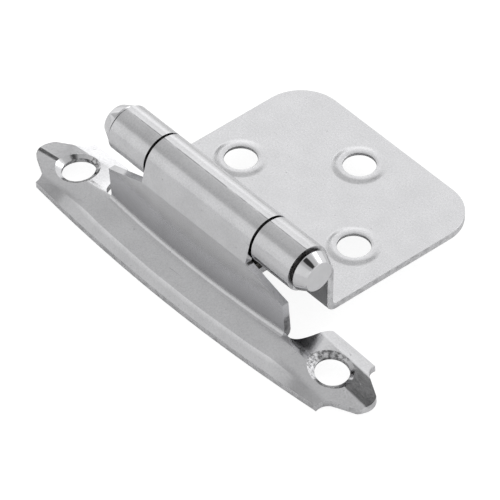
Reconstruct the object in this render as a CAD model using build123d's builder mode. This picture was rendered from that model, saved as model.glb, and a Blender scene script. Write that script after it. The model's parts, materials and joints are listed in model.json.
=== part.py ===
from build123d import *
import os
from math import acos, asin, atan2, cos, hypot, radians, sin, sqrt, tan

os.makedirs("parts", exist_ok=True)

# All sizes are in millimetres. The part frame has its origin on the door face of the door leaf,
# midway between the two screw holes nearest the pin. X runs along the pin, Y from the pin towards
# the far edge of the door leaf and Z out of the door face. Sections are drawn about the pin axis.

# Sheet metal and rolled knuckles
SHEET = 1.1
KNUCKLE_R = 3.65
BORE_R = KNUCKLE_R - SHEET
RUNNING_GAP = 0.05
PIN_R = BORE_R - RUNNING_GAP
BARREL_LENGTH = 22.0
END_GAP = 0.45
SEAM_GAP = 0.35

# Door leaf
DOOR_WIDTH = 38.0
PIN_BACK = 15.14
PIN_RISE = 10.0
DOOR_REACH = 33.6
FAR_CORNER_R = 6.5
WEB_OUT = 5.02
LEAN_START = -3.5
LEAN_BEND_R = 2.0
FOOT_BEND_R = 0.6
WINDOW_FLOOR = -7.2
WINDOW_CORNER_R = 1.0
NEAR_HOLE_SPACING = 24.12
FAR_HOLE_STEP = 11.86
DOOR_HOLE_R = 2.45
CRATER_FOOT_R = 4.2
CRATER_CREST_R = 3.3
CRATER_RISE = 0.53
CRATER_SOFTNESS = 0.8
CRATER_LIP_RISE = 0.1
HOLE_LAND = 0.45
PUNCH_FLARE = 0.85

# Frame leaf plate, drawn in its own tilted frame: s runs across it and n stands out of its face
LEAF_TILT = 5.0
MAIN_FACE_TILT = 15.9
CROWN_S = -4.65
CROWN_N = -10.35
REAR_FOLD_S = -0.05
REAR_FOLD_DROP = 0.5
REAR_SLOPE = 0.306
FOLD_SOFTNESS = 4.0
END_BEND_R = 25.0
END_BEND_ANGLE = 6.3
END_CURVE_R = 170.0
RIM_N = -12.5
RIM_SLOPE_MID = 0.95
RIM_SLOPE_END = 0.34
RIM_FADE_START = 4.5
RIM_FADE_STEP = 4.0
RIM_RUN_OUT = 3.0
RIM_RUN_IN = 9.0
FRONT_EDGE_MID = -10.58
FRONT_EDGE_END = -9.1
REAR_EDGE_IN = 1.47
REAR_EDGE_OUT = 1.95

# Finials at both ends of the frame leaf
LEAF_AXIS = -3.55
SHOULDER_X = 30.0
SHOULDER_BULGE = 0.35
NOTCH_X = 31.1
NOTCH_HALF = 3.45
LOBE_X = 34.3
LOBE_HALF = 1.85
TIP_X = 35.05
EAR_START_X = 22.05
RELIEF_WAIST_X = 21.0
RELIEF_WAIST_S = -2.0
RELIEF_BOTTOM_X = 19.7
RELIEF_BOTTOM_S = -4.3
LEAF_HOLE_X = 27.25
LEAF_HOLE_S = -3.4
LEAF_HOLE_TILT = 6.8
LEAF_HOLE_R = 2.5
COUNTERSINK_R = 3.8
LEAF_HOLE_LAND = 0.3

# Flange between the plate and the centre barrel
FLANGE_HALF = 18.5
SHOULDER_Z = -5.05
FLANGE_TOP_Z = -2.3
FLANGE_TOP_Y = -4.3
FLANGE_LOW_Z = -13.2
FLANGE_LOW_END_Y = -3.11
FLANGE_LOW_MID_Y = -4.18
FLANGE_CORNER_R = 0.6
OUTER_BEND_R = 1.5
CREASE_R = 0.9

# Strip of plate along the crease, measured across the main face from the pin axis
STRIP_REAR_END = -5.7
STRIP_REAR_MID = -6.5
STRIP_START = -8.2
STRIP_OVERLAP = 0.5

# Spring pocket under the centre barrel
POCKET_UNDERSIDE = -5.95
POCKET_BEND_R = 1.6
POCKET_SEAM = 0.15

# Pin and spring
HEAD_GAP = 0.35
HEAD_BASE_R = 3.3
HEAD_TIP_R = 2.35
HEAD_LENGTH = 2.1
CAM_FLAT_DEPTH = 0.4
CAM_END_CLEARANCE = 1.0
SPRING_THICKNESS = 0.5
SPRING_SIDE_CLEARANCE = 0.35
SPRING_END_CLEARANCE = 0.5
SPRING_CONTACT_GAP = 0.03

pin_origin = (0, -PIN_BACK, PIN_RISE)
tilt = radians(LEAF_TILT)
main_tilt = radians(MAIN_FACE_TILT)
pin_section = Plane(origin=pin_origin, x_dir=(0, 1, 0), z_dir=(1, 0, 0))
pin_front = Plane(origin=pin_origin, x_dir=(1, 0, 0), z_dir=(0, -1, 0))
leaf_across = Plane(origin=pin_origin, x_dir=(0, cos(tilt), sin(tilt)), z_dir=(1, 0, 0))
leaf_face = Plane(origin=pin_origin, x_dir=(1, 0, 0), z_dir=(0, -sin(tilt), cos(tilt)))
leaf_up = Vector(0, -sin(tilt), cos(tilt))
main_face = Plane(origin=pin_origin, x_dir=(1, 0, 0), z_dir=(0, -sin(main_tilt), cos(main_tilt)))


def polar(radius, angle):
    """Point at a radius and an angle in radians."""
    return (radius * cos(angle), radius * sin(angle))


# Door leaf: plate, foot bend, web, leaning top and a roll round the pin, as one sheet section
web_in = WEB_OUT - SHEET
door_top = -PIN_RISE
door_under = door_top - SHEET
lean = acos(KNUCKLE_R / hypot(WEB_OUT, LEAN_START)) + atan2(LEAN_START, WEB_OUT)
lean_in_z = (BORE_R - web_in * cos(lean)) / sin(lean)
roll_end = lean - acos((BORE_R - SEAM_GAP) / KNUCKLE_R)
roll_far = lean + radians(155)
outer_foot_r = FOOT_BEND_R + SHEET
corner = sqrt(0.5)

with BuildPart() as door_leaf:
    with BuildSketch(pin_section) as door_section:
        with BuildLine():
            Line((DOOR_REACH, door_under), (DOOR_REACH, door_top))
            Line((DOOR_REACH, door_top), (WEB_OUT + FOOT_BEND_R, door_top))
            ThreePointArc(
                (WEB_OUT + FOOT_BEND_R, door_top),
                (WEB_OUT + FOOT_BEND_R * (1 - corner), door_top + FOOT_BEND_R * (1 - corner)),
                (WEB_OUT, door_top + FOOT_BEND_R),
            )
            Line((WEB_OUT, door_top + FOOT_BEND_R), (WEB_OUT, LEAN_START))
            Line((WEB_OUT, LEAN_START), polar(KNUCKLE_R, lean))
            ThreePointArc(polar(KNUCKLE_R, lean), polar(KNUCKLE_R, roll_far), polar(KNUCKLE_R, roll_end))
            Line(polar(KNUCKLE_R, roll_end), polar(BORE_R, roll_end))
            ThreePointArc(polar(BORE_R, roll_end), polar(BORE_R, roll_far), polar(BORE_R, lean))
            Line(polar(BORE_R, lean), (web_in, lean_in_z))
            Line((web_in, lean_in_z), (web_in, door_under + outer_foot_r))
            ThreePointArc(
                (web_in, door_under + outer_foot_r),
                (web_in + outer_foot_r * (1 - corner), door_under + outer_foot_r * (1 - corner)),
                (web_in + outer_foot_r, door_under),
            )
            Line((web_in + outer_foot_r, door_under), (DOOR_REACH, door_under))
        make_face()
        lean_out = pin_section.from_local_coords((WEB_OUT, LEAN_START))
        lean_in = pin_section.from_local_coords((web_in, lean_in_z))
        fillet(door_section.vertices().sort_by_distance(lean_out)[0], radius=LEAN_BEND_R + SHEET)
        fillet(door_section.vertices().sort_by_distance(lean_in)[0], radius=LEAN_BEND_R)
    extrude(amount=DOOR_WIDTH / 2, both=True)
    # Far corners of the plate
    far_edges = (
        door_leaf.edges()
        .filter_by(Axis.Z)
        .filter_by_position(Axis.Y, DOOR_REACH - PIN_BACK - 0.01, DOOR_REACH - PIN_BACK + 0.01)
    )
    fillet(far_edges, radius=FAR_CORNER_R)
    # Window between the knuckles for the centre barrel
    with BuildSketch(pin_front):
        with Locations((0, WINDOW_FLOOR + KNUCKLE_R * 2)):
            RectangleRounded(BARREL_LENGTH + 2 * END_GAP, KNUCKLE_R * 4, WINDOW_CORNER_R)
    extrude(amount=KNUCKLE_R * 3, both=True, mode=Mode.SUBTRACT)
    # Screw holes punched from the back, with a raised soft crater on the door face
    hole_points = [(-NEAR_HOLE_SPACING / 2, 0), (NEAR_HOLE_SPACING / 2, 0), (0, FAR_HOLE_STEP)]
    land_foot = CRATER_LIP_RISE - HOLE_LAND
    with BuildSketch(Plane.XZ) as crater_section:
        with BuildLine():
            FilletPolyline(
                (CRATER_FOOT_R, 0),
                (CRATER_CREST_R, CRATER_RISE),
                (DOOR_HOLE_R, CRATER_LIP_RISE),
                radius=CRATER_SOFTNESS,
            )
            Polyline(
                (DOOR_HOLE_R, CRATER_LIP_RISE),
                (0, CRATER_LIP_RISE),
                (0, -SHEET / 2),
                (CRATER_FOOT_R, -SHEET / 2),
                (CRATER_FOOT_R, 0),
            )
        make_face()
    crater = revolve(axis=Axis.Z, mode=Mode.PRIVATE)
    punch_r = DOOR_HOLE_R + (SHEET + land_foot) + PUNCH_FLARE - CRATER_LIP_RISE
    with BuildSketch(Plane.XZ) as punch_section:
        with BuildLine():
            Polyline(
                (0, CRATER_RISE * 2),
                (DOOR_HOLE_R, CRATER_RISE * 2),
                (DOOR_HOLE_R, land_foot),
                (punch_r, -SHEET),
                (punch_r, -SHEET * 2),
                (0, -SHEET * 2),
                close=True,
            )
        make_face()
    punch = revolve(axis=Axis.Z, mode=Mode.PRIVATE)
    with Locations(*hole_points):
        add(crater)
    with Locations(*hole_points):
        add(punch, mode=Mode.SUBTRACT)
door_leaf.part.label = "door_leaf"
export_step(door_leaf.part, "parts/door_leaf.step")

# Frame leaf plate: a shallow pressed hill, cut to the outline and hollowed to sheet thickness
main_slope = tan(main_tilt - tilt)
main_level = main_face.to_local_coords(leaf_face.from_local_coords((0, CROWN_S, CROWN_N))).Z
hill_foot = RIM_N - 7.0
end_run = TIP_X + 2.0
bend = radians(END_BEND_ANGLE)
bend_end_x = FLANGE_HALF + END_BEND_R * sin(bend)
bend_end_n = CROWN_N - END_BEND_R * (1 - cos(bend))
curve_angle = asin(sin(bend) + (end_run - bend_end_x) / END_CURVE_R)
front_s = FRONT_EDGE_MID - 4
rear_s = REAR_EDGE_OUT + 2
fold_n = CROWN_N - REAR_FOLD_DROP
crown_front = (front_s, CROWN_N - main_slope * (CROWN_S - front_s))
crown_rear = (rear_s, fold_n - REAR_SLOPE * (rear_s - REAR_FOLD_S))
crown_folds = [crown_front, (CROWN_S, CROWN_N), (REAR_FOLD_S, fold_n), crown_rear]
crown_sides = [crown_rear, (rear_s, hill_foot), (front_s, hill_foot), crown_front]


def on_end_curve(angle):
    """Point of the falling crown line where it slopes by an angle in radians."""
    along = bend_end_x + END_CURVE_R * (sin(angle) - sin(bend))
    return (along, bend_end_n - END_CURVE_R * (cos(bend) - cos(angle)))


def front_edge(x):
    """Place of the curved front edge across the leaf at a distance x from the middle."""
    return FRONT_EDGE_MID + (FRONT_EDGE_END - FRONT_EDGE_MID) * (x / SHOULDER_X) ** 2


def rim_slope(x):
    """Slope of the front bevel, which fades out from the flange's end to the shoulder."""
    share = min(1.0, max(0.0, (abs(x) - FLANGE_HALF) / (SHOULDER_X - FLANGE_HALF)))
    return RIM_SLOPE_MID + (RIM_SLOPE_END - RIM_SLOPE_MID) * (1 - cos(share * radians(180))) / 2


with BuildPart() as hill_end:
    with BuildSketch(leaf_across.offset(FLANGE_HALF)):
        with BuildLine():
            FilletPolyline(*crown_folds, radius=FOLD_SOFTNESS)
            Polyline(*crown_sides)
        make_face()
    with BuildLine() as crown_line:
        half_bend = bend / 2
        bend_mid = (
            FLANGE_HALF + END_BEND_R * sin(half_bend),
            CROWN_N - END_BEND_R * (1 - cos(half_bend)),
        )
        curve_mid = on_end_curve((bend + curve_angle) / 2)
        crown_points = [
            leaf_face.from_local_coords((x, CROWN_S, n))
            for x, n in (
                (FLANGE_HALF, CROWN_N),
                bend_mid,
                (bend_end_x, bend_end_n),
                curve_mid,
                on_end_curve(curve_angle),
            )
        ]
        ThreePointArc(*crown_points[:3])
        ThreePointArc(*crown_points[2:])
    sweep()

# Front bevel that follows the curved edge, with sections closer together where it fades out
with BuildPart() as front_bevel:
    fade_steps = [RIM_FADE_START + RIM_FADE_STEP * count for count in range(3)]
    stations = [FLANGE_HALF - fade_steps[1], FLANGE_HALF]
    stations += [FLANGE_HALF + step for step in fade_steps]
    stations += [end_run + 1]
    for x in [-x for x in reversed(stations)] + [0] + stations:
        with BuildSketch(leaf_across.offset(x)):
            edge = front_edge(x)
            slope = rim_slope(x)
            with BuildLine():
                Polyline(
                    (edge - RIM_RUN_OUT, RIM_N - RIM_RUN_OUT * slope),
                    (edge + RIM_RUN_IN, RIM_N + RIM_RUN_IN * slope),
                    (8, RIM_N + RIM_RUN_IN * slope),
                    (8, hill_foot - 1),
                    (edge - RIM_RUN_OUT, hill_foot - 1),
                    close=True,
                )
            make_face()
    loft()

with BuildPart() as hill:
    with BuildSketch(leaf_across):
        with BuildLine():
            FilletPolyline(*crown_folds, radius=FOLD_SOFTNESS)
            Polyline(*crown_sides)
        make_face()
    extrude(amount=FLANGE_HALF, both=True)
    add(hill_end.part)
    add(hill_end.part.mirror(Plane.YZ))
    add(front_bevel.part, mode=Mode.INTERSECT)

with BuildPart() as flange:
    with BuildSketch(Plane.XY.offset(PIN_RISE + FLANGE_LOW_Z)):
        with BuildLine():
            half = FLANGE_HALF + 1
            front_end = -PIN_BACK + FLANGE_LOW_END_Y
            front_mid = -PIN_BACK + FLANGE_LOW_MID_Y
            ThreePointArc((-half, front_end), (0, front_mid), (half, front_end))
            Line((half, front_end), (half, front_end + SHEET))
            ThreePointArc((half, front_end + SHEET), (0, front_mid + SHEET), (-half, front_end + SHEET))
            Line((-half, front_end + SHEET), (-half, front_end))
        make_face()
    # The flange top has the thickness of the leaning wall above it, measured level
    top_lean = acos(KNUCKLE_R / hypot(FLANGE_TOP_Y, FLANGE_TOP_Z))
    front_tangent = atan2(FLANGE_TOP_Z, FLANGE_TOP_Y) + 2 * radians(180) - top_lean
    level_thickness = SHEET / abs(cos(front_tangent))
    with BuildSketch(Plane.XY.offset(PIN_RISE + FLANGE_TOP_Z)):
        with Locations((0, -PIN_BACK + FLANGE_TOP_Y + level_thickness / 2)):
            Rectangle(2 * half, level_thickness)
    loft(ruled=True)
    with BuildSketch(pin_front) as flange_outline:
        with BuildLine():
            Polyline(
                (-FLANGE_HALF, FLANGE_LOW_Z - 1),
                (FLANGE_HALF, FLANGE_LOW_Z - 1),
                (FLANGE_HALF, SHOULDER_Z),
                (BARREL_LENGTH / 2, FLANGE_TOP_Z),
                (-BARREL_LENGTH / 2, FLANGE_TOP_Z),
                (-FLANGE_HALF, SHOULDER_Z),
                close=True,
            )
        make_face()
        shoulder_corners = flange_outline.vertices().sort_by(Axis.X)
        outer_corners = [v for v in shoulder_corners if abs(v.Z - PIN_RISE - SHOULDER_Z) < 0.01]
        fillet(outer_corners, radius=FLANGE_CORNER_R)
    extrude(amount=KNUCKLE_R * 3, both=True, mode=Mode.INTERSECT)
    # Strip of the plate along the crease, hollowed together with the foot of the flange
    with BuildSketch(main_face.offset(main_level)):
        with BuildLine():
            Polyline(
                (-FLANGE_HALF, STRIP_START - STRIP_OVERLAP),
                (FLANGE_HALF, STRIP_START - STRIP_OVERLAP),
                (FLANGE_HALF, STRIP_REAR_END),
                (0, STRIP_REAR_MID),
                (-FLANGE_HALF, STRIP_REAR_END),
                close=True,
            )
        make_face()
    extrude(amount=-SHEET * 3)
    add(hill.part.moved(Location(leaf_up * -SHEET)), mode=Mode.SUBTRACT)
    # Outer bend below and soft crease above, where the plate turns up into the flange
    bend_point = main_face.from_local_coords((0, STRIP_REAR_MID + 0.25, main_level - SHEET))
    crease_point = main_face.from_local_coords((0, STRIP_REAR_MID - 0.8, main_level))
    fillet(flange.edges().sort_by_distance(bend_point)[0], radius=OUTER_BEND_R)
    fillet(flange.edges().sort_by_distance(crease_point)[0], radius=CREASE_R)

# The free end of the rolled sheet stops just short of the back of the flange
bow_share = (FLANGE_TOP_Z - POCKET_UNDERSIDE) / (FLANGE_TOP_Z - FLANGE_LOW_Z)
bow_at_barrel = (FLANGE_LOW_END_Y - FLANGE_LOW_MID_Y) * (BARREL_LENGTH / 2 / half) ** 2
floor_end = FLANGE_TOP_Y + level_thickness + bow_share * bow_at_barrel + POCKET_SEAM

# Outline of one half, drawn from the middle of the front edge round the finial to the strip
strip_joint = leaf_face.to_local_coords(main_face.from_local_coords((0, STRIP_START, main_level))).Y

with BuildPart() as frame_leaf:
    with BuildSketch(leaf_face):
        with BuildLine() as half_outline:
            notch_front = (NOTCH_X, LEAF_AXIS - NOTCH_HALF)
            notch_rear = (NOTCH_X, LEAF_AXIS + NOTCH_HALF)
            lobe_front = (LOBE_X, LEAF_AXIS - LOBE_HALF)
            lobe_rear = (LOBE_X, LEAF_AXIS + LOBE_HALF)
            shoulder_front = (SHOULDER_X, FRONT_EDGE_END)
            shoulder_rear = (SHOULDER_X, REAR_EDGE_OUT)
            ThreePointArc((0, FRONT_EDGE_MID), (SHOULDER_X / 2, front_edge(SHOULDER_X / 2)), shoulder_front)
            SagittaArc(shoulder_front, notch_front, SHOULDER_BULGE)
            Line(notch_front, lobe_front)
            ThreePointArc(lobe_front, (TIP_X, LEAF_AXIS), lobe_rear)
            Line(lobe_rear, notch_rear)
            SagittaArc(notch_rear, shoulder_rear, SHOULDER_BULGE)
            Line(shoulder_rear, (EAR_START_X, REAR_EDGE_IN))
            Spline(
                (EAR_START_X, REAR_EDGE_IN),
                (RELIEF_WAIST_X, RELIEF_WAIST_S),
                (RELIEF_BOTTOM_X, RELIEF_BOTTOM_S),
                (FLANGE_HALF, RELIEF_BOTTOM_S + 0.1),
            )
            Line((FLANGE_HALF, RELIEF_BOTTOM_S + 0.1), (FLANGE_HALF, strip_joint))
            Line((FLANGE_HALF, strip_joint), (0, strip_joint))
            Line((0, strip_joint), (0, FRONT_EDGE_MID))
        make_face()
        mirror(about=Plane.YZ)
    extrude(amount=-20)
    add(hill.part, mode=Mode.INTERSECT)
    add(hill.part.moved(Location(leaf_up * -SHEET)), mode=Mode.SUBTRACT)
    add(flange.part)
    # Centre barrel: the flange rolls over the pin, down behind it and back under it
    with BuildSketch(pin_section):
        with BuildLine():
            wall_foot = (FLANGE_TOP_Y, FLANGE_TOP_Z)
            inner_foot = (
                FLANGE_TOP_Y - SHEET * cos(front_tangent),
                FLANGE_TOP_Z - SHEET * sin(front_tangent),
            )
            bend_start = POCKET_UNDERSIDE + POCKET_BEND_R
            pocket_floor = POCKET_UNDERSIDE + SHEET
            inner_bend_r = POCKET_BEND_R - SHEET
            floor_bend = KNUCKLE_R - POCKET_BEND_R
            Line(wall_foot, polar(KNUCKLE_R, front_tangent))
            ThreePointArc(
                polar(KNUCKLE_R, front_tangent), polar(KNUCKLE_R, front_tangent / 2), (KNUCKLE_R, 0)
            )
            Line((KNUCKLE_R, 0), (KNUCKLE_R, bend_start))
            ThreePointArc(
                (KNUCKLE_R, bend_start),
                (floor_bend + POCKET_BEND_R * corner, bend_start - POCKET_BEND_R * corner),
                (floor_bend, POCKET_UNDERSIDE),
            )
            Line((floor_bend, POCKET_UNDERSIDE), (floor_end, POCKET_UNDERSIDE))
            Line((floor_end, POCKET_UNDERSIDE), (floor_end, pocket_floor))
            Line((floor_end, pocket_floor), (floor_bend, pocket_floor))
            ThreePointArc(
                (floor_bend, pocket_floor),
                (floor_bend + inner_bend_r * corner, bend_start - inner_bend_r * corner),
                (BORE_R, bend_start),
            )
            Line((BORE_R, bend_start), (BORE_R, 0))
            ThreePointArc((BORE_R, 0), polar(BORE_R, front_tangent / 2), polar(BORE_R, front_tangent))
            Line(polar(BORE_R, front_tangent), inner_foot)
            Line(inner_foot, wall_foot)
        make_face()
    extrude(amount=BARREL_LENGTH / 2, both=True)
    # Countersunk screw holes, nearly square to the sloping ears
    slope_at_hole = asin(sin(bend) + (LEAF_HOLE_X - bend_end_x) / END_CURVE_R)
    hole_n = on_end_curve(slope_at_hole)[1]
    hole_tilt = radians(LEAF_HOLE_TILT)
    cone_depth = SHEET - LEAF_HOLE_LAND
    flare = (COUNTERSINK_R - LEAF_HOLE_R) / cone_depth
    for side in (-1, 1):
        hole_top = leaf_face.from_local_coords((side * LEAF_HOLE_X, LEAF_HOLE_S, hole_n))
        hole_axis = leaf_up * cos(hole_tilt) + Vector(side * sin(hole_tilt), 0, 0)
        with Locations(Plane(origin=hole_top, x_dir=(1, 0, 0), z_dir=hole_axis).location):
            Cylinder(LEAF_HOLE_R, SHEET * 4, mode=Mode.SUBTRACT)
            with Locations((0, 0, -cone_depth)):
                Cone(
                    LEAF_HOLE_R,
                    COUNTERSINK_R + flare,
                    cone_depth + 1,
                    align=(Align.CENTER, Align.CENTER, Align.MIN),
                    mode=Mode.SUBTRACT,
                )
frame_leaf.part.label = "frame_leaf"
export_step(frame_leaf.part, "parts/frame_leaf.step")

# Hinge pin: held in the door leaf, with a cam flat facing the spring and a cone head at each end
with BuildPart() as hinge_pin:
    head_start = DOOR_WIDTH / 2 + HEAD_GAP
    head_end = head_start + HEAD_LENGTH
    with BuildSketch(pin_front):
        with BuildLine():
            Polyline(
                (-head_end, 0),
                (-head_end, HEAD_TIP_R),
                (-head_start, HEAD_BASE_R),
                (-head_start, PIN_R),
                (head_start, PIN_R),
                (head_start, HEAD_BASE_R),
                (head_end, HEAD_TIP_R),
                (head_end, 0),
                close=True,
            )
        make_face()
    revolve(axis=Axis(pin_origin, (1, 0, 0)))
    flat_level = -(PIN_R - CAM_FLAT_DEPTH)
    with BuildSketch(pin_front):
        with Locations((0, flat_level - PIN_R / 2)):
            Rectangle(BARREL_LENGTH - 2 * CAM_END_CLEARANCE, PIN_R)
    extrude(amount=PIN_R * 2, both=True, mode=Mode.SUBTRACT)
hinge_pin.part.label = "hinge_pin"
export_step(hinge_pin.part, "parts/hinge_pin.step")

# Leaf spring: a bowed strip on the pocket floor, pressing up against the cam flat
with BuildPart() as leaf_spring:
    spring_half = BARREL_LENGTH / 2 - SPRING_END_CLEARANCE
    crest_top = flat_level - SPRING_CONTACT_GAP
    end_under = pocket_floor + SPRING_CONTACT_GAP
    with BuildSketch(pin_front):
        with BuildLine():
            ThreePointArc(
                (-spring_half, end_under + SPRING_THICKNESS),
                (0, crest_top),
                (spring_half, end_under + SPRING_THICKNESS),
            )
            Line((spring_half, end_under + SPRING_THICKNESS), (spring_half, end_under))
            ThreePointArc(
                (spring_half, end_under), (0, crest_top - SPRING_THICKNESS), (-spring_half, end_under)
            )
            Line((-spring_half, end_under), (-spring_half, end_under + SPRING_THICKNESS))
        make_face()
    extrude(amount=BORE_R - SPRING_SIDE_CLEARANCE, both=True)
leaf_spring.part.label = "leaf_spring"
export_step(leaf_spring.part, "parts/leaf_spring.step")
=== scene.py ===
import json
from math import cos, radians, sin

import bmesh
import bpy
from mathutils import Matrix, Vector
from mathutils.bvhtree import BVHTree
from mathutils.interpolate import poly_3d_calc


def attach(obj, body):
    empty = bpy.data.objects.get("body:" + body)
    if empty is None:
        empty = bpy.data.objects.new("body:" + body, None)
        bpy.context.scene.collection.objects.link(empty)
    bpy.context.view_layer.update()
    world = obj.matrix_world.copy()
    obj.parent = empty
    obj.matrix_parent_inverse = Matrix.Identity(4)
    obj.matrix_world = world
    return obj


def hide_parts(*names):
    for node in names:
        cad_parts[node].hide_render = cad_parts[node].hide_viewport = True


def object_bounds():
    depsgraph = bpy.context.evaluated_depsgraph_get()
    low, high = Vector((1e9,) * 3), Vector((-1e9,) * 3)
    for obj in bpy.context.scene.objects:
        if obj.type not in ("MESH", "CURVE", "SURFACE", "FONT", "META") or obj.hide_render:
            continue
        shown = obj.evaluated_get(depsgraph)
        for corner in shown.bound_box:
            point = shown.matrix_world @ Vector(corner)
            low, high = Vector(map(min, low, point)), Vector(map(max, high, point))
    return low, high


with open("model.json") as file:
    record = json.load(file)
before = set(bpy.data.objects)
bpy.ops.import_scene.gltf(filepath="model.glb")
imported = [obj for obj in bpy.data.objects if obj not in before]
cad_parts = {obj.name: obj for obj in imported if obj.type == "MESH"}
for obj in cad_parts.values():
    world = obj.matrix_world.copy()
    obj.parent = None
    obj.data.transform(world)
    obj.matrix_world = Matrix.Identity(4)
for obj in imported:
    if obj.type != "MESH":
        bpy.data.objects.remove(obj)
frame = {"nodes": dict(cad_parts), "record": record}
cad_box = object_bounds()

bl_info = {
    "name": "Self-closing surface hinge",
    "version": (1, 0, 0),
    "blender": (4, 5, 0),
    "location": "3D View > Sidebar > Hinge",
    "description": "Dresses the packed hinge: plated sheet leaves, turned pin, spring and a pale studio",
    "category": "Object",
}

MM = 0.001

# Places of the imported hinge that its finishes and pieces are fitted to
PIN_AXIS = Vector((0.0, -15.14, 10.0)) * MM
DOOR_HOLES = tuple(Vector(hole) * MM for hole in ((-12.06, 0.0), (12.06, 0.0), (0.0, 11.86)))
LEAF_HOLE = Vector((27.14, -17.46)) * MM
LEAF_UP = Vector((0.0, -sin(radians(5.0)), cos(radians(5.0))))
MAIN_FACE_UP = Vector((0.0, -sin(radians(15.9)), cos(radians(15.9))))

# Limits of the zones of the door leaf
SIDE_RIM_X = 18.9 * MM
FAR_CORNERS_Y = 9.0 * MM
BEYOND_HOLES = 16.5 * MM
SHEET_BACK_Z = -1.2 * MM
SHEET_FACE_Z = 0.1 * MM
KNUCKLES_Z = 4.0 * MM

# Limits of the zones of the frame leaf
COUNTERSINK_REACH = 4.1 * MM
EARS_X = 18.6 * MM
FRONT_RIM_Y = -23.9 * MM

# Bands across the sheet, in millimetres: each fades in from its first number to its second
# The LINE bands place the painted dark reflection line along the top of the knuckles
LINE_FROM_FRONT = (-15.46, -15.34)
LINE_FROM_BACK = (-15.20, -15.32)
LINE_ABOVE_PIN = (10.5, 11.0)
# The FOOT and BEVEL bands place the painted shade of the frame leaf
FOOT_DOWNWARDS = (6.5, -0.5)
FOOT_OFF_MAIN_FACE = (4.55, 5.2)
FOOT_IN_FRONT = (-17.6, -18.2)
BEVEL_BELOW_CREST = (4.42, 4.05)
BEVEL_IN_FRONT = (-21.4, -22.0)

# How fine the marks on the metal are: spots per metre, or one number for each of X, Y and Z
CLOUDS = 260.0
GRAIN = 3600.0
PITS = 1500.0
SCRATCHED_PATCHES = 330.0
SCRATCHES = (170.0, 3400.0, 2400.0)
DRAW_LINES = (70.0, 2600.0, 1500.0)
# Breaks in the painted dark reflection line
LINE_BREAKS = (500.0, 2400.0, 900.0)
SHEAR_MARKS = (2600.0, 2600.0, 180.0)
TORN_SPOTS = 900.0
CHATTER = 1500.0
CHATTER_PATCHES = 480.0
LATHE_RINGS = (9000.0, 60.0, 60.0)
PIN_CLOUDS = 420.0
PIN_PITS = 1900.0
NECK_MOTTLE = 700.0
SPRING_GRAIN = (60.0, 2400.0, 400.0)
SPRING_TINT = 150.0
STRAW = (1.15, 1.0, 0.82)

# How the pressed sheets are meshed again
JOIN_WITHIN = 0.002 * MM
FLAT_WITHIN = radians(0.4)
SHARP_FROM = radians(36)
EDGE_STEPS = 3

# How the pin is turned
TURNED_SIDES = 96
CORNER_STEPS = 6
CAP_SHARE = 0.12
HEAD_BREAK = 0.03 * MM
FLAT_BREAK = 0.02 * MM

# Floor, camera and lamps
FLOOR_GAP = 0.2 * MM
FLOOR_HALF = 3.0
SENSOR_WIDTH = 36.0
CAMERA_SEES = (0.05, 20.0)
SOFTBOXES = (
    ("key_softbox", (0.13, 1.17, 1.09), 0.55, 2.2),
    ("fill_softbox", (1.3, -0.9, 0.9), 1.0, 1.0),
)


# Sizes and finishes that a user would change


class HingeFinish(bpy.types.PropertyGroup):
    """Colours and polish of the metal."""

    plating: bpy.props.FloatVectorProperty(
        name="Plating", description="Colour of the nickel-like plating",
        subtype="COLOR", size=3, min=0, max=1, default=(0.64, 0.64, 0.652))
    leaf_roughness: bpy.props.FloatProperty(
        name="Frame leaf roughness", description="How dull the frame leaf is",
        subtype="FACTOR", min=0, max=1, default=0.15)
    plate_roughness: bpy.props.FloatProperty(
        name="Door leaf roughness", description="How satin the door leaf is",
        subtype="FACTOR", min=0, max=1, default=0.25)
    pin_roughness: bpy.props.FloatProperty(
        name="Pin roughness", description="How dull the turned pin is",
        subtype="FACTOR", min=0, max=1, default=0.07)
    spring_colour: bpy.props.FloatVectorProperty(
        name="Spring steel", description="Colour of the tempered spring strip",
        subtype="COLOR", size=3, min=0, max=1, default=(0.36, 0.35, 0.34))
    edge_round: bpy.props.FloatProperty(
        name="Edge rounding", description="Radius of the tumbled edges of the sheet",
        subtype="DISTANCE", unit="LENGTH", min=0, max=0.001, default=0.0002, precision=5)
    plate_peel: bpy.props.FloatProperty(
        name="Door leaf peel", description="Strength of the satin grain of the door leaf",
        subtype="FACTOR", min=0, max=1, default=0.22)
    leaf_peel: bpy.props.FloatProperty(
        name="Frame leaf peel", description="Strength of the grain of the frame leaf and the knuckles",
        subtype="FACTOR", min=0, max=1, default=0.09)
    # Strength of the painted shade at the flange's foot
    painted_foot_shade: bpy.props.FloatProperty(
        name="Foot shade", description="How much darker the flange's foot is",
        subtype="FACTOR", min=0, max=1, default=0.6)
    # Strength of the painted shade on the front bevel
    painted_bevel_shade: bpy.props.FloatProperty(
        name="Bevel shade", description="How much darker the frame leaf's front bevel is",
        subtype="FACTOR", min=0, max=1, default=0.24)


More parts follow.
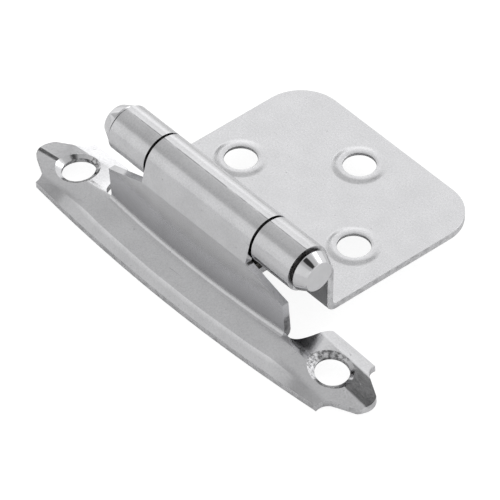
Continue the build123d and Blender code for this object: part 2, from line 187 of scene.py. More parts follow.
class HingePin(bpy.types.PropertyGroup):
    """Sizes of the turned pin."""

    shaft_radius: bpy.props.FloatProperty(
        name="Shaft radius", description="Radius of the pin inside the knuckles",
        subtype="DISTANCE", unit="LENGTH", min=0.0001, default=0.0025, precision=5)
    head_base_radius: bpy.props.FloatProperty(
        name="Head base radius", description="Radius of the cone head beside the knuckle",
        subtype="DISTANCE", unit="LENGTH", min=0.0001, default=0.0033, precision=5)
    head_tip_radius: bpy.props.FloatProperty(
        name="Head tip radius", description="Radius of the flat tip of the cone head",
        subtype="DISTANCE", unit="LENGTH", min=0.0001, default=0.00235, precision=5)
    head_start: bpy.props.FloatProperty(
        name="Head start", description="From the middle of the pin to the cone head",
        subtype="DISTANCE", unit="LENGTH", min=0.001, default=0.01947, precision=5)
    head_end: bpy.props.FloatProperty(
        name="Head end", description="From the middle of the pin to the flat tip",
        subtype="DISTANCE", unit="LENGTH", min=0.001, default=0.02145, precision=5)
    flat_half_length: bpy.props.FloatProperty(
        name="Cam flat half length", description="Half the length of the flat that the spring presses on",
        subtype="DISTANCE", unit="LENGTH", min=0.001, default=0.010, precision=5)
    flat_depth: bpy.props.FloatProperty(
        name="Cam flat depth", description="How deep the flat is cut into the shaft",
        subtype="DISTANCE", unit="LENGTH", min=0, default=0.0004, precision=5)
    corner_round: bpy.props.FloatProperty(
        name="Corner rounding", description="Radius of the turned corners",
        subtype="DISTANCE", unit="LENGTH", min=0, default=0.0002, precision=5)


class HingeCraters(bpy.types.PropertyGroup):
    """Sizes of the soft rims round the door leaf's punched holes."""

    hole_radius: bpy.props.FloatProperty(
        name="Hole radius", description="Radius of the screw hole",
        subtype="DISTANCE", unit="LENGTH", min=0.0001, default=0.00245, precision=5)
    crest_radius: bpy.props.FloatProperty(
        name="Crest radius", description="Radius of the highest ring of the rim",
        subtype="DISTANCE", unit="LENGTH", min=0.0001, default=0.003, precision=5)
    foot_radius: bpy.props.FloatProperty(
        name="Foot radius", description="Radius where the rim fades into the plate",
        subtype="DISTANCE", unit="LENGTH", min=0.0001, default=0.0042, precision=5)
    crest_height: bpy.props.FloatProperty(
        name="Crest height", description="Height of the highest ring above the plate",
        subtype="DISTANCE", unit="LENGTH", min=0, default=0.00014, precision=5)
    lip_height: bpy.props.FloatProperty(
        name="Lip height", description="Height of the hole's edge above the plate",
        subtype="DISTANCE", unit="LENGTH", min=0, default=0.0001, precision=5)


class HingeStudio(bpy.types.PropertyGroup):
    """Camera, floor and light."""

    azimuth: bpy.props.FloatProperty(
        name="Azimuth", description="Camera's angle round the hinge",
        subtype="ANGLE", default=radians(48.304))
    elevation: bpy.props.FloatProperty(
        name="Elevation", description="Camera's angle above the hinge",
        subtype="ANGLE", default=radians(43.087))
    roll: bpy.props.FloatProperty(
        name="Roll", description="Camera's turn about its own view",
        subtype="ANGLE", default=radians(0.74))
    distance: bpy.props.FloatProperty(
        name="Distance", description="Camera to the point it looks at",
        subtype="DISTANCE", unit="LENGTH", default=0.90329)
    aim: bpy.props.FloatVectorProperty(
        name="Aim", description="Point that the camera looks at",
        subtype="XYZ", unit="LENGTH", size=3, default=(0.006889, -0.014920, 0.004657), precision=5)
    lens: bpy.props.FloatProperty(
        name="Lens", description="Focal length in millimetres",
        subtype="DISTANCE_CAMERA", unit="CAMERA", default=467.5)
    floor_lift: bpy.props.FloatProperty(
        name="Floor lift", description="Share of plain white in what the eye sees of the floor",
        subtype="FACTOR", min=0, max=1, default=0.72)
    floor_white: bpy.props.FloatProperty(
        name="Floor white", description="Brightness of that plain white", min=0, default=1.25)
    floor_colour: bpy.props.FloatVectorProperty(
        name="Floor", description="Colour of the pale floor",
        subtype="COLOR", size=3, min=0, max=1, default=(0.93, 0.93, 0.93))


# Studio walls seen round the pin's axis: degrees up from behind the hinge, and brightness
STUDIO_WALLS = (
    (0.0, 1.02),
    (35.0, 1.02),
    (46.0, 1.12),
    (52.0, 1.18),
    (58.0, 1.12),
    (63.0, 0.74),
    (70.0, 0.68),
    (95.0, 0.64),
    (116.0, 0.56),
    (127.0, 0.62),
    (134.0, 0.86),
    (152.0, 0.93),
    (180.0, 0.88),
)

# Soft cards of the studio: direction, half width and soft edge in degrees, and brightness
STUDIO_CARDS = (
    ((-0.74, 0.42, 0.53), 6.0, 4.0, 1.7),
    ((-0.70, 0.66, 0.27), 8.0, 6.0, 1.5),
    ((-0.24, 0.52, 0.82), 4.0, 2.5, 0.06),
    ((-0.79, 0.39, 0.475), 6.5, 1.5, 0.03),
    ((0.25, -0.17, 0.95), 11.0, 4.0, 0.05),
)


# Shader maths


class Value:
    """A shader socket that takes part in plain arithmetic."""

    def __init__(self, shader, socket):
        self.shader = shader
        self.socket = socket

    def _math(self, operation, first, second):
        made = self.shader.node("ShaderNodeMath", {"operation": operation}, {0: first, 1: second})
        return Value(self.shader, made.outputs[0])

    def __add__(self, other):
        return self._math("ADD", self, other)

    __radd__ = __add__

    def __mul__(self, other):
        return self._math("MULTIPLY", self, other)

    __rmul__ = __mul__

    def __sub__(self, other):
        return self._math("SUBTRACT", self, other)

    def __rsub__(self, other):
        return self._math("SUBTRACT", other, self)


class Shader:
    """A material or world being built, with one method that makes every node."""

    def __init__(self, name, surface_type="ShaderNodeBsdfPrincipled", world=False):
        self.material = (bpy.data.worlds if world else bpy.data.materials).new(name)
        self.material.use_nodes = True
        self.tree = self.material.node_tree
        self.tree.nodes.clear()
        self.surface = self.node(surface_type)
        output = self.node("ShaderNodeOutputWorld" if world else "ShaderNodeOutputMaterial")
        self.tree.links.new(self.surface.outputs[0], output.inputs["Surface"])

    def node(self, kind, settings=None, inputs=None):
        """Makes a node: its settings first, then the values or links of its sockets."""
        made = self.tree.nodes.new(kind)
        for key, value in (settings or {}).items():
            if key == "stops":
                ramp = made.color_ramp
                while len(ramp.elements) < len(value):
                    ramp.elements.new(0.5)
                for element, (place, colour) in zip(ramp.elements, value):
                    element.position = place
                    element.color = colour
            else:
                setattr(made, key, value)
        for key, value in (inputs or {}).items():
            self.feed(made.inputs[key], value)
        return made

    def feed(self, socket, value):
        """Links a socket, or sets its plain value."""
        if isinstance(value, Value):
            self.tree.links.new(value.socket, socket)
        elif isinstance(value, bpy.types.NodeSocket):
            self.tree.links.new(value, socket)
        else:
            socket.default_value = value

    def place(self):
        return self.node("ShaderNodeTexCoord").outputs["Object"]

    def speckle(self, fineness, detail=2.0, roughness=0.5):
        """Noise on Object coordinates, as fine as it is told: one number, or one for each direction."""
        place, scale = self.place(), fineness
        if isinstance(fineness, tuple):
            place = self.node("ShaderNodeMapping", {}, {"Vector": place, "Scale": fineness}).outputs[0]
            scale = 1.0
        made = self.node(
            "ShaderNodeTexNoise", {},
            {"Vector": place, "Scale": scale, "Detail": detail, "Roughness": roughness})
        return Value(self, made.outputs["Fac"])

    def ramp(self, value, low, high):
        """Spreads a value between two levels to the range from 0 to 1."""
        made = self.node("ShaderNodeMapRange", {"clamp": True}, {0: value, 1: low, 2: high, 3: 0.0, 4: 1.0})
        return Value(self, made.outputs[0])

    def fade(self, value, band):
        """Fades in over a band that is given in millimetres."""
        return self.ramp(value, band[0] * MM, band[1] * MM)

    def mix(self, share, first, second):
        made = self.node("ShaderNodeMix", {"data_type": "RGBA"})
        self.feed(made.inputs[0], share)
        self.feed(made.inputs[6], first)
        self.feed(made.inputs[7], second)
        return made.outputs[2]

    def bump(self, height, strength, distance):
        return self.node(
            "ShaderNodeBump", {}, {"Height": height, "Strength": strength, "Distance": distance}).outputs[0]

    def metal(self, colour, roughness, bumps=None):
        """Finishes the material as metal and returns it."""
        self.feed(self.surface.inputs["Base Color"], colour)
        self.feed(self.surface.inputs["Roughness"], roughness)
        if bumps:
            self.feed(self.surface.inputs["Normal"], bumps)
        self.surface.inputs["Metallic"].default_value = 1.0
        return self.material


def tinted(colour, factor):
    """A colour made lighter or darker, for a colour socket."""
    return (*(min(1.0, part * factor) for part in colour), 1.0)


def painted_reflection_line(shader):
    """A painted reflection: the thin ragged dark line along the top of the knuckles, where something dark
    reflects in them.
    """
    parts = shader.node("ShaderNodeSeparateXYZ", {}, {0: shader.place()})
    across, up = Value(shader, parts.outputs[1]), Value(shader, parts.outputs[2])
    line = shader.fade(across, LINE_FROM_FRONT) * shader.fade(across, LINE_FROM_BACK)
    breaks = shader.ramp(shader.speckle(LINE_BREAKS, 3.0), 0.36, 0.56)
    return line * shader.fade(up, LINE_ABOVE_PIN) * breaks


def painted_leaf_shade(shader, finish):
    """Painted shade on the frame leaf: darker towards the flange's foot, and a little on the front bevel."""
    parts = shader.node("ShaderNodeSeparateXYZ", {}, {0: shader.place()})
    across, up = Value(shader, parts.outputs[1]), Value(shader, parts.outputs[2])
    height = shader.node(
        "ShaderNodeVectorMath", {"operation": "DOT_PRODUCT"}, {0: shader.place(), 1: MAIN_FACE_UP})
    rise = Value(shader, height.outputs["Value"])
    foot = shader.fade(up, FOOT_DOWNWARDS) * shader.fade(rise, FOOT_OFF_MAIN_FACE)
    foot = foot * shader.fade(across, FOOT_IN_FRONT)
    bevel = shader.fade(rise, BEVEL_BELOW_CREST) * shader.fade(across, BEVEL_IN_FRONT)
    return foot * finish.painted_foot_shade + bevel * finish.painted_bevel_shade


def plated_sheet_finish(finish, name, roughness, peel, with_painted_shade=False):
    """Plating over pressed sheet: matt grain, faint clouds, draw lines along the pin, a few dark pits, a
    painted dark reflection line on the knuckles, and painted shade when asked.
    """
    shader = Shader(name)
    clouds = shader.speckle(CLOUDS, 3.0)
    lines = shader.speckle(DRAW_LINES, 4.0, 0.6)
    grain = shader.speckle(GRAIN, 3.0, 0.7)
    scratches = shader.ramp(shader.speckle(SCRATCHES), 0.67, 0.75)
    patches = shader.ramp(shader.speckle(SCRATCHED_PATCHES, 1.0), 0.55, 0.65)
    pits = shader.ramp(shader.speckle(PITS, 1.0), 0.76, 0.80)
    marks = pits * 0.8 + scratches * patches * 0.6
    shade = shader.ramp(clouds * 0.35 + grain * 0.65, 0.38, 0.62)
    clean = shader.mix(shade, tinted(finish.plating, 0.92), tinted(finish.plating, 1.07))
    # Painted reflection: a dark line along the top of the knuckles
    clean = shader.mix(painted_reflection_line(shader) * 0.8, clean, tinted(finish.plating, 0.25))
    if with_painted_shade:
        # Painted shade at the flange's foot and on the front bevel
        clean = shader.mix(painted_leaf_shade(shader, finish), clean, tinted(finish.plating, 0.2))
    return shader.metal(
        shader.mix(marks * 0.5, clean, tinted(finish.plating, 0.45)),
        clouds * 0.08 + lines * 0.06 + grain * 0.06 + marks * 0.12 + (roughness - 0.10),
        shader.bump(grain * 0.6 + lines * 0.4 - marks * 0.6, peel, 0.03 * MM))


def sheared_edge_finish(finish, name):
    """Plated cut edge of the sheet: shear marks through the thickness and duller torn spots."""
    shader = Shader(name)
    shear = shader.speckle(SHEAR_MARKS, 3.0, 0.65)
    torn = shader.ramp(shader.speckle(TORN_SPOTS, 3.0), 0.45, 0.62)
    return shader.metal(
        shader.mix(torn * 0.7, tinted(finish.plating, 1.08), tinted(finish.plating, 0.72)),
        shear * 0.22 + torn * 0.14 + 0.14,
        shader.bump(shear + torn * 0.5, 0.35, 0.06 * MM))


def countersink_finish(finish):
    """Plated countersink with chatter marks left by the cutter."""
    shader = Shader("countersink_finish")
    chatter = shader.speckle(CHATTER, 3.0, 0.7)
    dark = shader.ramp(chatter * 0.75 + shader.speckle(CHATTER_PATCHES) * 0.25, 0.42, 0.56)
    return shader.metal(
        shader.mix(dark, tinted(finish.plating, 0.28), tinted(finish.plating, 1.1)),
        chatter * 0.15 + 0.10,
        shader.bump(chatter, 0.4, 0.06 * MM))


def turned_pin_finish(finish):
    """Plated turned steel: faint lathe rings round the pin's axis and a few pits."""
    shader = Shader("turned_pin_finish")
    rings = shader.speckle(LATHE_RINGS, 3.0, 0.6)
    clouds = shader.speckle(PIN_CLOUDS, 3.0)
    pits = shader.ramp(shader.speckle(PIN_PITS, 1.0), 0.74, 0.79)
    cloudy = shader.ramp(clouds, 0.35, 0.65)
    clean = shader.mix(cloudy, tinted(finish.plating, 1.0), tinted(finish.plating, 1.1))
    return shader.metal(
        shader.mix(pits * 0.4, clean, tinted(finish.plating, 0.5)),
        rings * 0.05 + clouds * 0.05 + (finish.pin_roughness - 0.05),
        shader.bump(rings, 0.08, 0.02 * MM))


def painted_shade_neck_finish(finish):
    """Shaft and neck of the pin: dark steel that paints the shade in the slot between knuckle and cone head,
    faintly mottled.
    """
    shader = Shader("painted_shade_neck_finish")
    mottle = shader.ramp(shader.speckle(NECK_MOTTLE, 3.0), 0.4, 0.65)
    return shader.metal(
        shader.mix(mottle, tinted(finish.spring_colour, 0.12), tinted(finish.spring_colour, 0.35)),
        mottle * 0.2 + 0.25)


def spring_finish(finish):
    """Tempered strip: dark rolled grain along its length, with a faint straw tint."""
    shader = Shader("spring_finish")
    grain = shader.speckle(SPRING_GRAIN, 5.0, 0.65)
    straw = shader.ramp(shader.speckle(SPRING_TINT), 0.4, 0.7)
    warm = tuple(part * share for part, share in zip(finish.spring_colour, STRAW))
    return shader.metal(
        shader.mix(straw, tinted(finish.spring_colour, 1.0), tinted(warm, 1.0)),
        grain * 0.2 + 0.22,
        shader.bump(grain, 0.2, 0.02 * MM))


def floor_finish(studio):
    """Pale floor that the eye sees nearly white, with the hinge's soft shadow kept faint."""
    shader = Shader("floor_finish", "ShaderNodeMixShader")
    plain = shader.node("ShaderNodeBsdfDiffuse", {}, {"Color": (*studio.floor_colour, 1.0)})
    white = shader.node(
        "ShaderNodeEmission", {}, {"Color": (1.0, 1.0, 1.0, 1.0), "Strength": studio.floor_white})
    eye = Value(shader, shader.node("ShaderNodeLightPath").outputs["Is Camera Ray"])
    shader.feed(shader.surface.inputs[0], eye * studio.floor_lift)
    shader.feed(shader.surface.inputs[1], plain.outputs[0])
    shader.feed(shader.surface.inputs[2], white.outputs[0])
    return shader.material


# Pieces


def body_of_node(node):
    """The moving body that holds a node of the record."""
    for body, nodes in frame["record"]["behaviour"]["bodies"].items():
        if node in nodes:
            return body
    raise RuntimeError("no body holds " + node)


def settle(piece, node):
    """Puts a finished piece on the body of the node that it stands for."""
    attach(piece, body_of_node(node))
    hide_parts(node)


class SoftCraters:
    """Reshapes the punched rims of the door leaf into soft mounds that fade into the plate."""

    margin = 0.01 * MM
    slope_run = 0.1 * MM
    cuts = 4
    steepest = 0.7

    def __init__(self, sizes):
        self.sizes = sizes
        self.inside = sizes.hole_radius - self.margin
        self.outside = sizes.foot_radius + self.margin

    def height(self, radius):
        """Height of the mound above the plate, from the distance to the hole's middle."""
        sizes = self.sizes
        if radius > sizes.crest_radius:
            share = max(0.0, (sizes.foot_radius - radius) / (sizes.foot_radius - sizes.crest_radius))
            return sizes.crest_height * share ** 2 * (3 - 2 * share)
        share = (sizes.crest_radius - radius) / (sizes.crest_radius - sizes.hole_radius)
        return sizes.crest_height - (sizes.crest_height - sizes.lip_height) * share ** 2

    def holds(self, place, centre):
        """Whether a point lies on the mound round one hole."""
        return place.z > -self.margin and self.inside < (place.xy - centre).length < self.outside

    def reshape(self, shape):
        """Cuts the slopes round each hole into rings and lifts their points to the mound."""
        for centre in DOOR_HOLES:
            rim = {
                edge for face in shape.faces if all(self.holds(vertex.co, centre) for vertex in face.verts)
                for edge in face.edges
            }
            slanted = []
            for edge in shape.edges:
                near, far = ((vertex.co.xy - centre).length for vertex in edge.verts)
                if edge in rim and abs(near - far) > self.slope_run:
                    slanted.append(edge)
            bmesh.ops.subdivide_edges(shape, edges=slanted, cuts=self.cuts, use_grid_fill=True)
            for vertex in shape.verts:
                if self.holds(vertex.co, centre):
                    vertex.co.z = self.height((vertex.co.xy - centre).length)

    def normal(self, place, face):
        """Exact direction of the mound at a point, or None away from it."""
        if face.normal.z < self.steepest or place.z < -2 * self.margin:
            return None
        for centre in DOOR_HOLES:
            away = place.xy - centre
            if self.inside < away.length < self.outside:
                before, after = (self.height(away.length + step) for step in (-self.margin, self.margin))
                slope = (after - before) / (2 * self.margin)
                return Vector((*(away.normalized() * -slope), 1.0)).normalized()
        return None


class ExactNormals:
    """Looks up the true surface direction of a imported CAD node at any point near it."""

    step_in = 0.03 * MM
    look_within = 0.12 * MM
    nearness = 3000
    likeness = 0.8

    def __init__(self, mesh):
        self.corners = [Vector(mesh.vertices[loop.vertex_index].co) for loop in mesh.loops]
        self.normals = [Vector(corner.vector) for corner in mesh.corner_normals]
        self.loops = [list(face.loop_indices) for face in mesh.polygons]
        self.faces = [Vector(face.normal) for face in mesh.polygons]
        places = [vertex.co for vertex in mesh.vertices]
        self.tree = BVHTree.FromPolygons(places, [list(face.vertices) for face in mesh.polygons])

    def at(self, place, face):
        """Blends the corner directions of the CAD face that lies nearest and points most alike."""
        inward = face.calc_center_median() - place
        probe = place + inward.normalized() * min(self.step_in, inward.length * 0.3)
        found = self.tree.find_nearest_range(probe, self.look_within) or [self.tree.find_nearest(probe)]
        best = max(found, key=lambda hit: self.faces[hit[2]].dot(face.normal) - hit[3] * self.nearness)
        loops = self.loops[best[2]]
        weights = poly_3d_calc([self.corners[loop] for loop in loops], best[0])
        normal = sum((self.normals[loop] * weight for loop, weight in zip(loops, weights)), Vector())
        if normal.length < 0.1 or normal.dot(face.normal) < self.likeness:
            return face.normal
        return normal.normalized()


def corner_directions(shape, strips, exact, craters):
    """A direction for each face corner: the true one, or on a rounded edge a blend of its neighbours'."""
    true = {}
    for face in shape.faces:
        if face not in strips:
            for vertex in face.verts:
                mound = craters.normal(vertex.co, face) if craters else None
                true.setdefault(vertex, {})[face] = mound or exact.at(vertex.co, face)
    directions = []
    for face in shape.faces:
        for loop in face.loops:
            known = true.get(loop.vert, {})
            blend = sum(known.values(), Vector()).normalized() if known else loop.vert.normal
            directions.append(known.get(face, blend).copy())
    return directions


def pressed_sheet(node, name, edge_round, materials, zone_of, craters=None):
    """A joined copy of a pressed CAD node with tumbled edges, true normals and a finish for each zone."""
    source = frame["nodes"][node].data
    shape = bmesh.new()
    shape.from_mesh(source)
    bmesh.ops.remove_doubles(shape, verts=shape.verts, dist=JOIN_WITHIN)
    if craters:
        craters.reshape(shape)
        bmesh.ops.recalc_face_normals(shape, faces=shape.faces)
    bmesh.ops.dissolve_limit(shape, angle_limit=FLAT_WITHIN, verts=shape.verts, edges=shape.edges)
    for face in shape.faces:
        face.smooth = True
        face.material_index = zone_of(face)
    sharp = [
        edge for edge in shape.edges
        if len(edge.link_faces) == 2 and edge.calc_face_angle(0.0) > SHARP_FROM
    ]
    rounded = bmesh.ops.bevel(
        shape, geom=sharp, offset=edge_round, offset_type="OFFSET", segments=EDGE_STEPS, profile=0.5,
        affect="EDGES", clamp_overlap=True)
    shape.normal_update()
    directions = corner_directions(shape, set(rounded["faces"]), ExactNormals(source), craters)
    mesh = bpy.data.meshes.new(name)
    shape.to_mesh(mesh)
    shape.free()
    mesh.normals_split_custom_set(directions)
    for material in materials:
        mesh.materials.append(material)
    piece = bpy.data.objects.new(name, mesh)
    bpy.context.scene.collection.objects.link(piece)
    settle(piece, node)
    return piece


class Recipe:
    """A Geometry Nodes tree being built, with named inputs."""

    def __init__(self, name):
        self.tree = bpy.data.node_groups.new(name, "GeometryNodeTree")
        self.identifiers = {}
        self.inputs = self.tree.nodes.new("NodeGroupInput")
        self.tree.interface.new_socket("Geometry", in_out="OUTPUT", socket_type="NodeSocketGeometry")
        self.output = self.tree.nodes.new("NodeGroupOutput")

    def take(self, name, kind="NodeSocketFloat"):
        """Adds a named input and returns its socket inside the tree."""
        made = self.tree.interface.new_socket(name, in_out="INPUT", socket_type=kind)
        self.identifiers[name] = made.identifier
        return next(socket for socket in self.inputs.outputs if socket.identifier == made.identifier)

    def node(self, kind, settings=None, inputs=None):
        made = self.tree.nodes.new(kind)
        for key, value in (settings or {}).items():
            setattr(made, key, value)
        for key, value in (inputs or {}).items():
            if isinstance(value, bpy.types.NodeSocket):
                self.tree.links.new(value, made.inputs[key])
            else:
                made.inputs[key].default_value = value
        return made

    def math(self, operation, first, second=0.0):
        return self.node("ShaderNodeMath", {"operation": operation}, {0: first, 1: second}).outputs[0]

    def point(self, x, y, z=0.0):
        return self.node("ShaderNodeCombineXYZ", {}, {0: x, 1: y, 2: z}).outputs[0]

    def line_through(self, points):
        """A plain line through points that are worked out from the inputs."""
        chooser = self.node("GeometryNodeIndexSwitch", {"data_type": "VECTOR"})
        while len(chooser.index_switch_items) < len(points):
            chooser.index_switch_items.new()
        self.tree.links.new(self.node("GeometryNodeInputIndex").outputs[0], chooser.inputs[0])
        for count, point in enumerate(points):
            self.tree.links.new(point, chooser.inputs[count + 1])
        line = self.node("GeometryNodeMeshLine", {}, {"Count": len(points)})
        laid = self.node(
            "GeometryNodeSetPosition", {}, {"Geometry": line.outputs[0], "Position": chooser.outputs[0]})
        return self.node("GeometryNodeMeshToCurve", {}, {0: laid.outputs[0]}).outputs[0]

    def made(self, name, geometry, values, material):
        """Runs the tree once and returns its result as a plain mesh object."""
        finish = self.take("Finish", "NodeSocketMaterial")
        real = self.node("GeometryNodeRealizeInstances", {}, {0: geometry})
        dressed = self.node(
            "GeometryNodeSetMaterial", {}, {"Geometry": real.outputs[0], "Material": finish})
        self.tree.links.new(dressed.outputs[0], self.output.inputs[0])
        piece = bpy.data.objects.new(name, bpy.data.meshes.new(name + "_seed"))
        bpy.context.scene.collection.objects.link(piece)
        modifier = piece.modifiers.new("recipe", "NODES")
        modifier.node_group = self.tree
        for key, value in values.items():
            modifier[self.identifiers[key]] = value
        modifier[self.identifiers["Finish"]] = material
        bpy.context.view_layer.update()
        evaluated = piece.evaluated_get(bpy.context.evaluated_depsgraph_get())
        mesh = bpy.data.meshes.new_from_object(evaluated)
        piece.modifiers.remove(modifier)
        piece.data = mesh
        mesh.name = name
        return piece


def turned_pin(sizes, material):
    """The pin turned from its profile: corners rounded, spun round the axis, the cam flat pressed in."""
    recipe = Recipe("turned_pin")
    values = {
        "Shaft radius": sizes.shaft_radius,
        "Head base radius": sizes.head_base_radius,
        "Head tip radius": sizes.head_tip_radius,
        "Head start": sizes.head_start,
        "Head end": sizes.head_end,
        "Cam flat half length": sizes.flat_half_length,
        "Cam flat depth": sizes.flat_depth,
        "Corner rounding": sizes.corner_round,
    }
    shaft, base, tip, start, end, flat_half, flat_depth, corner = (recipe.take(name) for name in values)
    cap = recipe.math("MULTIPLY", tip, CAP_SHARE)
    rim = recipe.math("SUBTRACT", end, HEAD_BREAK)
    neck = recipe.math("SUBTRACT", start, HEAD_BREAK)
    step = recipe.math("ADD", flat_half, FLAT_BREAK)
    half = [(end, cap), (rim, tip), (start, base), (neck, shaft), (step, shaft), (flat_half, shaft)]
    points = [recipe.point(recipe.math("MULTIPLY", along, -1.0), radius) for along, radius in half]
    points += [recipe.point(along, radius) for along, radius in reversed(half)]
    rounded = recipe.node(
        "GeometryNodeFilletCurve", {"mode": "POLY"},
        {"Curve": recipe.line_through(points), "Radius": corner, "Count": CORNER_STEPS, "Limit Radius": True})
    position = recipe.node("GeometryNodeInputPosition").outputs[0]
    along, out, up = recipe.node("ShaderNodeSeparateXYZ", {}, {0: position}).outputs
    sized = recipe.node("GeometryNodeSetCurveRadius", {}, {"Curve": rounded.outputs[0], "Radius": out})
    axis = recipe.node(
        "GeometryNodeSetPosition", {}, {"Geometry": sized.outputs[0], "Position": recipe.point(along, 0.0)})
    ring = recipe.node("GeometryNodeCurvePrimitiveCircle", {}, {"Resolution": TURNED_SIDES, "Radius": 1.0})
    radius = recipe.node("GeometryNodeInputRadius").outputs[0]
    spun = recipe.node(
        "GeometryNodeCurveToMesh", {},
        {"Curve": axis.outputs[0], "Profile Curve": ring.outputs[0], "Scale": radius, "Fill Caps": True})
    reach = recipe.math("ADD", flat_half, FLAT_BREAK / 2)
    near = recipe.math("LESS_THAN", recipe.math("ABSOLUTE", along), reach)
    level = recipe.math("SUBTRACT", flat_depth, shaft)
    pressed = recipe.point(along, out, recipe.math("MAXIMUM", up, level))
    flattened = recipe.node(
        "GeometryNodeSetPosition", {}, {"Geometry": spun.outputs[0], "Selection": near, "Position": pressed})
    smooth = recipe.node(
        "GeometryNodeSetShadeSmooth", {}, {"Geometry": flattened.outputs[0], "Shade Smooth": True})
    placed = recipe.node(
        "GeometryNodeTransform", {}, {"Geometry": smooth.outputs[0], "Translation": PIN_AXIS})
    pin = recipe.made("hinge_pin_turned", placed.outputs[0], values, material)
    keep_flats_flat(pin)
    return pin


def keep_flats_flat(piece):
    """Shades large faces flat and lets the small rounded ones between them blend."""
    weighted = piece.modifiers.new("flat_faces_stay_flat", "WEIGHTED_NORMAL")
    weighted.mode = "FACE_AREA"
    weighted.weight = 50
    weighted.keep_sharp = True


def zone_of_door_leaf(face):
    """1 for the sheared rim of the door leaf, 2 for its rolled knuckles, 0 for the rest."""
    middle = face.calc_center_median()
    side = abs(face.normal.x) > 0.99 and abs(middle.x) > SIDE_RIM_X
    upright = abs(face.normal.z) < 0.05 and SHEET_BACK_Z < middle.z < SHEET_FACE_Z
    if side or upright and middle.y > FAR_CORNERS_Y and middle.xy.length > BEYOND_HOLES:
        return 1
    return 2 if middle.z > KNUCKLES_Z else 0


def zone_of_frame_leaf(face):
    """1 for the sheared rim of the frame leaf, 2 for its countersinks, 0 for the rest."""
    middle = face.calc_center_median()
    lean = abs(face.normal.dot(LEAF_UP))
    if (Vector((abs(middle.x), middle.y)) - LEAF_HOLE).length < COUNTERSINK_REACH:
        return 2 if lean < 0.85 else 0
    beyond = abs(middle.x) > EARS_X or middle.y < FRONT_RIM_Y
    return int(beyond and lean < 0.06)


class HINGE_OT_door_leaf(bpy.types.Operator):
    """Dresses the door leaf with rounded edges and plating"""

    bl_idname = "hinge.door_leaf"
    bl_label = "Door leaf"

    def execute(self, context):
        finish = context.scene.hinge_finish
        faces = plated_sheet_finish(finish, "door_leaf_finish", finish.plate_roughness, finish.plate_peel)
        rolled = plated_sheet_finish(
            finish, "rolled_knuckle_finish", finish.leaf_roughness, finish.leaf_peel)
        rim = sheared_edge_finish(finish, "door_leaf_rim_finish")
        pressed_sheet(
            "door_leaf", "door_leaf_plated", finish.edge_round, (faces, rim, rolled), zone_of_door_leaf,
            SoftCraters(context.scene.hinge_craters))
        return {"FINISHED"}


class HINGE_OT_frame_leaf(bpy.types.Operator):
    """Dresses the domed frame leaf with rounded edges and plating"""

    bl_idname = "hinge.frame_leaf"
    bl_label = "Frame leaf"

    def execute(self, context):
        finish = context.scene.hinge_finish
        faces = plated_sheet_finish(
            finish, "frame_leaf_finish", finish.leaf_roughness, finish.leaf_peel, with_painted_shade=True)
        rim = sheared_edge_finish(finish, "frame_leaf_rim_finish")
        materials = (faces, rim, countersink_finish(finish))
        pressed_sheet("frame_leaf", "frame_leaf_plated", finish.edge_round, materials, zone_of_frame_leaf)
        return {"FINISHED"}


class HINGE_OT_pin(bpy.types.Operator):
    """Turns the pin with its cone heads"""

    bl_idname = "hinge.pin"
    bl_label = "Hinge pin"

    def execute(self, context):
        sizes, finish = context.scene.hinge_pin, context.scene.hinge_finish
        pin = turned_pin(sizes, turned_pin_finish(finish))
        pin.data.materials.append(painted_shade_neck_finish(finish))
        # The shaft and neck inside the heads take the dark finish: painted shade for the slot beside the
        # knuckles
        for face in pin.data.polygons:
            face.material_index = int(abs(face.center.x) < sizes.head_start + HEAD_BREAK / 3)
        settle(pin, "hinge_pin")
        return {"FINISHED"}


class HINGE_OT_spring(bpy.types.Operator):
    """Gives the leaf spring its tempered steel"""

    bl_idname = "hinge.spring"
    bl_label = "Leaf spring"

    def execute(self, context):
        spring = frame["nodes"]["leaf_spring"]
        spring.data.materials.clear()
        spring.data.materials.append(spring_finish(context.scene.hinge_finish))
        return {"FINISHED"}


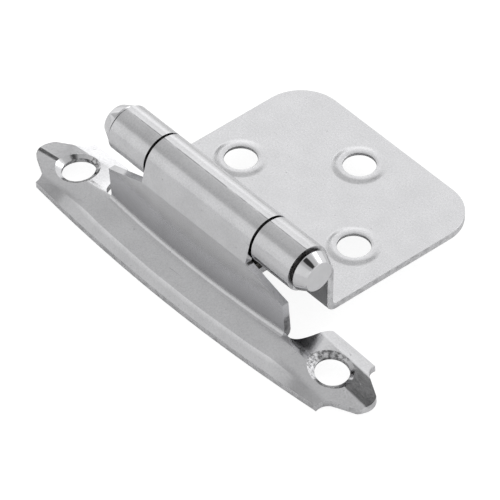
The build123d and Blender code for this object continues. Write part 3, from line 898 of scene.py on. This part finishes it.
class HINGE_OT_stage(bpy.types.Operator):
    """Makes the pale floor, the soft lights and the camera"""

    bl_idname = "hinge.stage"
    bl_label = "Stage"

    def execute(self, context):
        studio = context.scene.hinge_studio
        self.floor(studio)
        self.world()
        self.lights()
        self.camera(studio)
        context.scene.view_settings.view_transform = "Standard"
        return {"FINISHED"}

    def floor(self, studio):
        low = cad_box[0][2] - FLOOR_GAP
        corners = [
            (side * FLOOR_HALF, depth * FLOOR_HALF, low)
            for side, depth in ((-1, -1), (1, -1), (1, 1), (-1, 1))
        ]
        mesh = bpy.data.meshes.new("floor")
        mesh.from_pydata(corners, [], [(0, 1, 2, 3)])
        mesh.materials.append(floor_finish(studio))
        floor = bpy.data.objects.new("floor", mesh)
        bpy.context.scene.collection.objects.link(floor)

    def world(self):
        """White to the eye, and to the metal a studio: pale walls, greyer above, and soft cards."""
        shader = Shader("studio_world", "ShaderNodeBackground", world=True)
        bpy.context.scene.world = shader.material
        direction = shader.node("ShaderNodeTexCoord").outputs["Generated"]
        parts = shader.node("ShaderNodeSeparateXYZ", {}, {0: direction})
        turn = shader.node(
            "ShaderNodeMath", {"operation": "ARCTAN2"}, {0: parts.outputs[2], 1: parts.outputs[1]})
        share = shader.ramp(Value(shader, turn.outputs[0]), 0.0, radians(180))
        stops = [(place / 180.0, (level, level, level, 1.0)) for place, level in STUDIO_WALLS]
        walls = shader.node("ShaderNodeValToRGB", {"stops": stops}, {0: share})
        light = Value(shader, walls.outputs[0])
        for toward, wide, soft, level in STUDIO_CARDS:
            aim = Vector(toward).normalized()
            facing = shader.node(
                "ShaderNodeVectorMath", {"operation": "DOT_PRODUCT"}, {0: direction, 1: aim})
            edge, rim = cos(radians(wide)), cos(radians(wide + soft))
            card = shader.ramp(Value(shader, facing.outputs["Value"]), rim, edge)
            light = light * (1.0 - card) + card * level
        eye = Value(shader, shader.node("ShaderNodeLightPath").outputs["Is Camera Ray"])
        light = light * (1.0 - eye) + eye
        shader.feed(shader.surface.inputs["Color"], light)

    def lights(self):
        for name, place, side, power in SOFTBOXES:
            softbox(name, place, side, power)

    def camera(self, studio):
        azimuth, elevation = studio.azimuth, studio.elevation
        back = Vector((sin(azimuth) * cos(elevation), -cos(azimuth) * cos(elevation), sin(elevation)))
        side = Vector((cos(azimuth), sin(azimuth), 0.0))
        up = back.cross(side)
        right = side * cos(studio.roll) + up * sin(studio.roll)
        up = back.cross(right)
        data = bpy.data.cameras.new("camera")
        data.lens = studio.lens
        data.sensor_width = SENSOR_WIDTH
        data.clip_start, data.clip_end = CAMERA_SEES
        camera = bpy.data.objects.new("camera", data)
        turn = Matrix((right, up, back)).transposed().to_4x4()
        camera.matrix_world = Matrix.Translation(Vector(studio.aim) + back * studio.distance) @ turn
        bpy.context.scene.collection.objects.link(camera)
        bpy.context.scene.camera = camera


def softbox(name, place, side, power):
    """A square lamp that looks at the hinge."""
    data = bpy.data.lights.new(name, "AREA")
    data.shape = "SQUARE"
    data.size = side
    data.energy = power
    lamp = bpy.data.objects.new(name, data)
    lamp.location = place
    lamp.rotation_euler = Vector(place).to_track_quat("Z", "Y").to_euler()
    bpy.context.scene.collection.objects.link(lamp)


class HINGE_PT_panel(bpy.types.Panel):
    """Lists the steps and the sizes and colours of the hinge"""

    bl_label = "Surface hinge"
    bl_idname = "HINGE_PT_panel"
    bl_space_type = "VIEW_3D"
    bl_region_type = "UI"
    bl_category = "Hinge"

    def draw(self, context):
        for step in STEPS:
            self.layout.operator(step)
        scene = context.scene
        for group in (scene.hinge_finish, scene.hinge_pin, scene.hinge_craters, scene.hinge_studio):
            for key in group.bl_rna.properties.keys():
                if key not in ("rna_type", "name"):
                    self.layout.prop(group, key)


STEPS = ("hinge.door_leaf", "hinge.frame_leaf", "hinge.pin", "hinge.spring", "hinge.stage")
CLASSES = (
    HingeFinish,
    HingePin,
    HingeCraters,
    HingeStudio,
    HINGE_OT_door_leaf,
    HINGE_OT_frame_leaf,
    HINGE_OT_pin,
    HINGE_OT_spring,
    HINGE_OT_stage,
    HINGE_PT_panel,
)


def register():
    for made in CLASSES:
        bpy.utils.register_class(made)
    bpy.types.Scene.hinge_finish = bpy.props.PointerProperty(type=HingeFinish)
    bpy.types.Scene.hinge_pin = bpy.props.PointerProperty(type=HingePin)
    bpy.types.Scene.hinge_craters = bpy.props.PointerProperty(type=HingeCraters)
    bpy.types.Scene.hinge_studio = bpy.props.PointerProperty(type=HingeStudio)


def unregister():
    del bpy.types.Scene.hinge_finish
    del bpy.types.Scene.hinge_pin
    del bpy.types.Scene.hinge_craters
    del bpy.types.Scene.hinge_studio
    for made in reversed(CLASSES):
        bpy.utils.unregister_class(made)


def main():
    register()
    bpy.ops.hinge.door_leaf()
    bpy.ops.hinge.frame_leaf()
    bpy.ops.hinge.pin()
    bpy.ops.hinge.spring()
    bpy.ops.hinge.stage()


if __name__ == "__main__":
    main()
